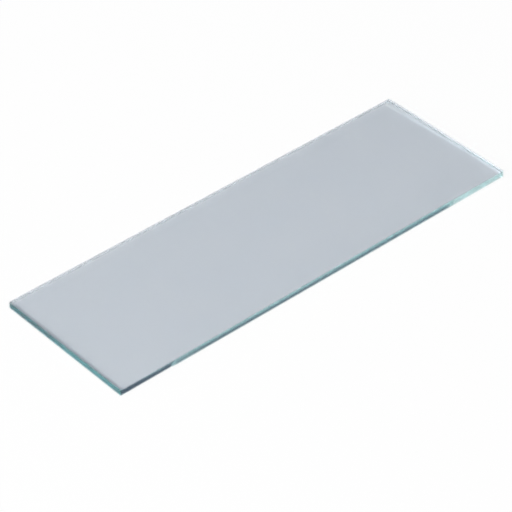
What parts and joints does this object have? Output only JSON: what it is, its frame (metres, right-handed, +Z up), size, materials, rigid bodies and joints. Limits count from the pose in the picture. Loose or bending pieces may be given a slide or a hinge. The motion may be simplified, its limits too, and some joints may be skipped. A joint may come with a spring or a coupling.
{
  "type": "microscope slide",
  "caption": "Plain flat rectangular strip of clear glass with cut edges, finely seamed rims and nipped corners, for holding a specimen under a microscope.",
  "frame": {"origin": "middle of the underside", "axes": "+X along the length, +Y across the width, +Z up out of the top face"},
  "size_m": [0.075, 0.025, 0.001],
  "materials": {
    "slide_glass": "clear fire-polished faces, cut edges that look blue-green from the end"
  },
  "bodies": {
    "root": {"slide": "slide_glass"}
  },
  "joints": []
}
